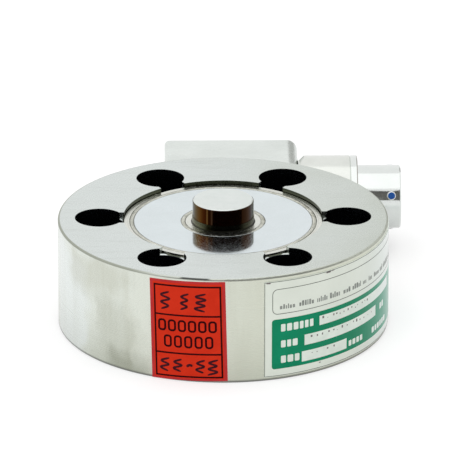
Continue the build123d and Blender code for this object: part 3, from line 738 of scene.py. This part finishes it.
def pen_stroke(sheet, points, width):
    """A smooth pen stroke through the points, as a ribbon that narrows at both ends."""
    steps = 8
    path = [Vector(point) for point in points]
    path = [2 * path[0] - path[1]] + path + [2 * path[-1] - path[-2]]
    middle = []
    for i in range(1, len(path) - 2):
        before, start, end, after = path[i - 1:i + 3]
        for step in range(steps):
            t = step / steps
            middle.append(0.5 * (
                2 * start + (end - before) * t + (2 * before - 5 * start + 4 * end - after) * t * t
                + (3 * start - before - 3 * end + after) * t ** 3
            ))
    middle.append(path[-2])
    last = len(middle) - 1
    sides = []
    for i, spot in enumerate(middle):
        along = (middle[min(i + 1, last)] - middle[max(i - 1, 0)]).normalized()
        half = width / 2 * (0.45 if i in (0, last) else 0.8 if i in (1, last - 1) else 1.0)
        out = Vector((-along.y, along.x)) * half
        sides.append([sheet.verts.new((*(spot + out * sign), 0)) for sign in (1, -1)])
    for (a, b), (c, d) in zip(sides, sides[1:]):
        sheet.faces.new((a, b, d, c))


def zigzag(rng, left, right, low, high, turns):
    """The points of a leaning upright zigzag, which spells nothing."""
    points = []
    for i in range(turns + 1):
        lean = 0.35 * (0.5 - i / turns)
        side = left if i % 2 else right
        points.append((side + lean + 0.3 * (rng.random() - 0.5), high + (low - high) * i / turns))
    return points


# Nameplate prints, in millimetres: x is the arc from the front of the rim, y the height
PRINT_THICKNESS = 0.012
SPECK_THICKNESS = 0.008
FRONT_ANGLE = -90
FIELD_LEFT = 10.6
FIELD_RIGHT = 70.9
PLATE_LINE_LEFT = 8.85
PLATE_LINE_RIGHT = FIELD_RIGHT + 1.6
PLATE_LINE_LOW = 1.0
PLATE_LINE_HIGH = 24.15
GREEN_LOW = 2.7
GREEN_HIGH = 14.85
GREEN_CORNER = 0.7
BOX_LOW = 16.05
BOX_HIGH = 22.25
SMALL_PRINT_LEFT = 12.5
SMALL_PRINT_RIGHT = 63
SMALL_PRINT_LOW = 17.25

# Left, right, low and high of each window and each word in the green field
WINDOWS = ((22.7, 52.6, 11.45, 13.75), (18.7, 43.4, 7.45, 10.0), (18.0, 31.05, 3.5, 6.0))
WORDS = (
    (12.8, 21.3, 11.75, 13.55), (12.8, 17.7, 7.85, 9.55), (12.8, 17.4, 4.05, 5.8),
    (31.8, 37.0, 3.75, 5.1), (41.4, 50.6, 3.7, 5.1), (46.0, 49.5, 7.9, 9.4),
)

# Left, right, middle height and count of the specks in each window
SPECK_ROWS = ((23.4, 40.0, 12.75, 13), (19.8, 42.0, 8.95, 14), (19.5, 29.0, 4.9, 4))

# Left, low, width and height of the specks elsewhere on the foil
OTHER_SPECKS = (
    (9.3, 23.75, 1.0, 0.3), (24.6, 23.7, 1.3, 0.35), (26.1, 23.9, 0.9, 0.16),
    (22.6, 2.2, 0.5, 0.2), (68.0, 20.0, 0.5, 0.4),
)

# One run of random numbers serves the words, small print, specks and pen marks in turn
draw = Random(7)

green = bmesh.new()
field(green, FIELD_LEFT, FIELD_RIGHT, GREEN_LOW, GREEN_HIGH, GREEN_CORNER)
on_nameplate(green, 0, PRINT_THICKNESS)
green_enamel = plain_finish(
    "green_enamel", (0.002, 0.225, 0.104), (0.003, 0.27, 0.132), roughness=0.3, scale=200.0,
    depth=4 * MICRON, gloss=0.0, varnish=0.8, painted_glare=(0.05, 0.42, 0.27),
)
finished("nameplate_green_field", green, green_enamel)

windows = bmesh.new()
for left, right, low, high in WINDOWS:
    field(windows, left, right, low, high)
on_nameplate(windows, 1, PRINT_THICKNESS)
window_paint = plain_finish(
    "window_silver", (0.72, 0.79, 0.71), (0.84, 0.91, 0.83), metallic=0.2, roughness=0.36,
    scale=260.0, depth=4 * MICRON, gloss=0.2, varnish=0.8, painted_glare=(0.85, 0.95, 0.91),
)
finished("nameplate_windows", windows, window_paint)

words = bmesh.new()
for left, right, low, high in WORDS:
    letter_blocks(words, draw, left, right, low, high, narrow=0.9, wide=1.45, gap=0.38)
on_nameplate(words, 1, PRINT_THICKNESS)
finished("nameplate_word_marks", words, window_paint)

lines = bmesh.new()
outline(lines, PLATE_LINE_LEFT, PLATE_LINE_RIGHT, PLATE_LINE_LOW, PLATE_LINE_HIGH, line=0.14)
outline(lines, FIELD_LEFT + 0.1, FIELD_RIGHT, BOX_LOW, BOX_HIGH, line=0.16, corner=1.3)
on_nameplate(lines, 0, PRINT_THICKNESS)
grey_ink = plain_finish(
    "grey_ink", (0.13, 0.15, 0.125), (0.19, 0.21, 0.18), scale=600.0, depth=4 * MICRON, gloss=0.0,
    varnish=0.8,
)
finished("nameplate_lines", lines, grey_ink)

small_print = bmesh.new()
at = SMALL_PRINT_LEFT
while at < SMALL_PRINT_RIGHT:
    word = 1.6 + 3.4 * draw.random()
    top = SMALL_PRINT_LOW + 1.05 + 0.35 * draw.random()
    letter_blocks(
        small_print, draw, at, at + word, SMALL_PRINT_LOW, top,
        narrow=0.26, wide=0.62, gap=0.2, uneven=0.3,
    )
    at += word + 0.75
on_nameplate(small_print, 0, PRINT_THICKNESS)
pale_ink = plain_finish(
    "pale_ink", (0.20, 0.22, 0.20), (0.34, 0.36, 0.33), scale=600.0, depth=4 * MICRON, gloss=0.0,
    varnish=0.8,
)

# Specks of dirt in the windows and elsewhere, which spell nothing
specks = bmesh.new()
for left, right, middle, count in SPECK_ROWS:
    for i in range(count):
        at = left + (right - left) * (i + 0.6 * draw.random()) / count
        low = middle + 0.5 * (draw.random() - 0.5)
        wide = 0.18 + 0.3 * draw.random()
        field(specks, at, at + wide, low, low + wide * (0.6 + draw.random()), wide * 0.2)
for left, low, wide, tall in OTHER_SPECKS:
    field(specks, left, left + wide, low, low + tall, tall * 0.4)
on_nameplate(specks, 2, SPECK_THICKNESS)
dirt = plain_finish(
    "dirt", (0.12, 0.10, 0.10), (0.30, 0.26, 0.26), roughness=0.6, scale=900.0, depth=4 * MICRON,
    gloss=0.1,
)
finished("nameplate_specks", specks, dirt)
finished("nameplate_small_print", small_print, pale_ink)

# Calibration sticker prints, in millimetres: x and y from the sticker's middle
INK_THICKNESS = 0.01
FRAME_HALF = 7.87
FRAME_TOP = 11.05
FRAME_BOTTOM = -11.4
DIVIDERS = (3.7, -5.6)
PEN_WIDTH = 0.5
SHORT_STROKE = ((-0.5, -8.7), (0.2, -8.3), (0.9, -8.5))
SHORT_STROKE_WIDTH = 0.6

# Left edges of the plain noughts in the two printed rows
UPPER_NOUGHTS = (-7.0, -4.65, -2.3, 0.05, 2.4, 4.75)
LOWER_NOUGHTS = (-5.7, -3.3, -0.9, 1.5, 3.9)

# Left, right, low, high and number of strokes of each pen mark
PEN_MARKS = (
    (-6.1, -4.2, 5.0, 9.3, 5), (-1.5, 0.2, 5.2, 9.1, 5), (2.0, 4.2, 4.9, 9.2, 6),
    (-6.4, -4.6, -10.1, -6.9, 4), (-3.4, -1.7, -10.0, -7.0, 4), (1.9, 3.7, -10.1, -7.0, 4),
    (4.6, 6.5, -10.6, -6.9, 5),
)

red = bmesh.new()
field(red, -FRAME_HALF - 0.25, FRAME_HALF + 0.25, FRAME_BOTTOM - 0.2, FRAME_TOP + 0.5)
on_sticker(red, 0)
orange_red = plain_finish(
    "orange_red_paper", (0.60, 0.024, 0.006), (0.68, 0.032, 0.009), scale=350.0, depth=4 * MICRON,
    gloss=0.1,
)
finished("sticker_red_field", red, orange_red)

frame_lines = bmesh.new()
outline(frame_lines, -FRAME_HALF, FRAME_HALF, FRAME_BOTTOM, FRAME_TOP, line=0.4)
for height in DIVIDERS:
    field(frame_lines, -FRAME_HALF, FRAME_HALF, height - 0.2, height + 0.2)
for left in UPPER_NOUGHTS:
    outline(frame_lines, left, left + 1.95, -0.3, 2.6, line=0.48, corner=0.8)
for left in LOWER_NOUGHTS:
    outline(frame_lines, left, left + 1.9, -4.2, -1.2, line=0.46, corner=0.8)
on_sticker(frame_lines, 1)
maroon_ink = plain_finish(
    "maroon_ink", (0.022, 0.001, 0.002), (0.04, 0.001, 0.003), roughness=0.6, scale=600.0,
    depth=4 * MICRON, gloss=0.05,
)
finished("sticker_frame_and_print", frame_lines, maroon_ink)

pen_marks = bmesh.new()
for mark in PEN_MARKS:
    pen_stroke(pen_marks, zigzag(draw, *mark), PEN_WIDTH)
pen_stroke(pen_marks, SHORT_STROKE, SHORT_STROKE_WIDTH)
on_sticker(pen_marks, 1)
pen_ink = plain_finish(
    "pen_ink", (0.030, 0.006, 0.010), (0.075, 0.012, 0.018), roughness=0.6, scale=1500.0,
    depth=4 * MICRON, gloss=0.05,
)
finished("sticker_pen_marks", pen_marks, pen_ink)


# Paint dot on the bayonet pin that faces the front, in millimetres
DOT_R = 0.82
DOT_THICKNESS = 0.03


def paint_dot():
    """A round dot of blue enamel on the end of the first bayonet pin."""
    pin_low, pin_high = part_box("bayonet_pin_1")
    sleeve_low, sleeve_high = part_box("connector_adaptor")
    middle = Vector((
        (pin_low.x + pin_high.x) / 2, (sleeve_low.y + sleeve_high.y) / 2,
        (sleeve_low.z + sleeve_high.z) / 2,
    ))
    out = Vector((0, -cos(radians(BAYONET_PIN_ANGLE)), sin(radians(BAYONET_PIN_ANGLE))))
    dot = bmesh.new()
    bmesh.ops.create_circle(dot, cap_ends=True, segments=40, radius=DOT_R * MM)
    grown = bmesh.ops.extrude_face_region(dot, geom=dot.faces[:])["geom"]
    raised = [v for v in grown if isinstance(v, bmesh.types.BMVert)]
    bmesh.ops.translate(dot, vec=(0, 0, DOT_THICKNESS * MM), verts=raised)
    turn = out.to_track_quat("Z", "X").to_matrix()
    bmesh.ops.rotate(dot, cent=(0, 0, 0), matrix=turn, verts=dot.verts[:])
    bmesh.ops.translate(dot, vec=middle + out * BAYONET_PIN_END_R * MM, verts=dot.verts[:])
    bmesh.ops.recalc_face_normals(dot, faces=dot.faces[:])
    blue = plain_finish(
        "blue_enamel", (0.008, 0.062, 0.26), (0.014, 0.09, 0.34), roughness=0.4, scale=900.0,
        depth=4 * MICRON, gloss=0.2,
    )
    finished("bayonet_paint_dot", dot, blue)


paint_dot()

# Floor, screens and light, in metres, degrees and watts
FLOOR_HALF = 15.0
FLOOR_ALBEDO = 0.42
FLOOR_GLOW = 0.55
MIRRORED_GLOW = 0.45
AMBIENT = 0.78


def stage_panel(name, left, right, front, back, height, material):
    """A level staged panel, in metres."""
    shape = bmesh.new()
    field(shape, left, right, front, back)
    bmesh.ops.translate(shape, vec=(0, 0, height), verts=shape.verts[:])
    thing = new_object(name, shape, material)
    return thing


def only_in_reflections(thing):
    """Hides a staged piece from all but glossy rays."""
    for ray in ("camera", "diffuse", "transmission", "volume_scatter", "shadow"):
        setattr(thing, "visible_" + ray, False)


def studio_floor():
    """A white floor that keeps the object's soft shadow."""
    material, tree, shader = new_finish("floor_white", 0.0, 0.9, (FLOOR_ALBEDO,) * 3)
    shader.inputs["Specular IOR Level"].default_value = 0.0
    shader.inputs["Emission Color"].default_value = (1, 1, 1, 1)
    path = tree.nodes.new("ShaderNodeLightPath")
    to_eye = maths(
        tree, "ADD", path.outputs["Is Camera Ray"], path.outputs["Is Transmission Ray"], clamp=True
    )
    glow = maths(
        tree, "ADD", maths(tree, "MULTIPLY", to_eye, FLOOR_GLOW),
        maths(tree, "MULTIPLY", path.outputs["Is Glossy Ray"], MIRRORED_GLOW),
    )
    tree.links.new(glow, shader.inputs["Emission Strength"])
    stage_panel("floor", -FLOOR_HALF, FLOOR_HALF, -FLOOR_HALF, FLOOR_HALF, 0.0, material)


def bright_ceiling(half_width, front, back, height, strength):
    """The lit part of the studio's ceiling, which only reflections show."""
    material, _, shader = new_finish("bright_ceiling_glow", 0.0, 0.9, (0.0, 0.0, 0.0))
    shader.inputs["Emission Color"].default_value = (1, 1, 1, 1)
    shader.inputs["Emission Strength"].default_value = strength
    panel = stage_panel("bright_ceiling", -half_width, half_width, front, back, height, material)
    only_in_reflections(panel)


def curved_screen(name, start, end, foot_z, head_z, distance, colour):
    """A part of the studio's wall that only reflections show; angles from the front."""
    material = new_finish(name + "_cloth", 0.0, 0.9, colour)[0]
    shape = bmesh.new()
    at = radians(start)
    foot = shape.verts.new((distance * sin(at), -distance * cos(at), foot_z))
    head = shape.verts.new((foot.co.x, foot.co.y, head_z))
    edge = shape.edges.new((foot, head))
    bmesh.ops.spin(
        shape, geom=[foot, head, edge], cent=(0, 0, 0), axis=(0, 0, 1),
        angle=radians(end - start), steps=24,
    )
    screen = new_object(name, shape, material)
    only_in_reflections(screen)


def studio_world():
    """White to the eye and in reflections, softer as ambient light."""
    world = bpy.data.worlds.new("studio")
    bpy.context.scene.world = world
    world.use_nodes = True
    tree = world.node_tree
    background = tree.nodes["Background"]
    background.inputs["Color"].default_value = (1, 1, 1, 1)
    path = tree.nodes.new("ShaderNodeLightPath")
    seen = maths(tree, "ADD", path.outputs["Is Camera Ray"], path.outputs["Is Glossy Ray"])
    seen = maths(tree, "ADD", seen, path.outputs["Is Transmission Ray"], clamp=True)
    tree.links.new(remap(tree, seen, 0.0, 1.0, AMBIENT, 1.0), background.inputs["Strength"])


def softbox(name, spot, size, power):
    """A square area lamp that faces the object and isn't mirrored in it."""
    lamp = bpy.data.lights.new(name, "AREA")
    lamp.shape = "SQUARE"
    lamp.size = size
    lamp.energy = power
    thing = bpy.data.objects.new(name, lamp)
    thing.location = spot
    thing.rotation_euler = (-Vector(spot)).to_track_quat("-Z", "Y").to_euler()
    thing.visible_glossy = False
    bpy.context.scene.collection.objects.link(thing)


studio_floor()
curved_screen(
    "dark_room", start=-42, end=75, foot_z=0.24, head_z=2.35, distance=2.4,
    colour=(0.16, 0.155, 0.145),
)
curved_screen(
    "dim_wall", start=140, end=172, foot_z=0.0, head_z=1.4, distance=2.6,
    colour=(0.66, 0.66, 0.64),
)
bright_ceiling(half_width=0.83, front=-1.15, back=0.65, height=1.4, strength=1.28)
studio_world()
softbox("overhead", spot=(0.0, 0.1, 1.4), size=1.66, power=11.0)
softbox("front_fill", spot=(-0.8, -2.0, 1.6), size=2.0, power=22.0)

# Camera: a long lens in millimetres, about 22 degrees above the table; distance in metres
CAMERA_DISTANCE = 1.6538
CAMERA_ELEVATION = 21.744
CAMERA_TURN = -0.92
CAMERA_YAW = 0.124
CAMERA_PITCH = -21.908
CAMERA_ROLL = -0.081
LENS = 543.87

camera_data = bpy.data.cameras.new("camera")
camera_data.sensor_width = 36.0
camera_data.lens = LENS
camera_data.clip_start = 0.1
camera_data.clip_end = 100.0
camera = bpy.data.objects.new("camera", camera_data)
bpy.context.scene.collection.objects.link(camera)
stand = Matrix.Rotation(radians(CAMERA_TURN), 4, "Z")
stand.translation = (0, 0, BODY_HEIGHT * MM)
elevation = radians(CAMERA_ELEVATION)
arm = Matrix.Translation((0, -CAMERA_DISTANCE * cos(elevation), CAMERA_DISTANCE * sin(elevation)))
aim = Matrix.Rotation(radians(-CAMERA_YAW), 4, "Z") @ Matrix.Rotation(
    radians(90 + CAMERA_PITCH), 4, "X") @ Matrix.Rotation(radians(-CAMERA_ROLL), 4, "Z")
camera.matrix_world = stand @ arm @ aim
bpy.context.scene.camera = camera

bpy.context.scene.view_settings.view_transform = "Standard"

bpy.context.view_layer.update()
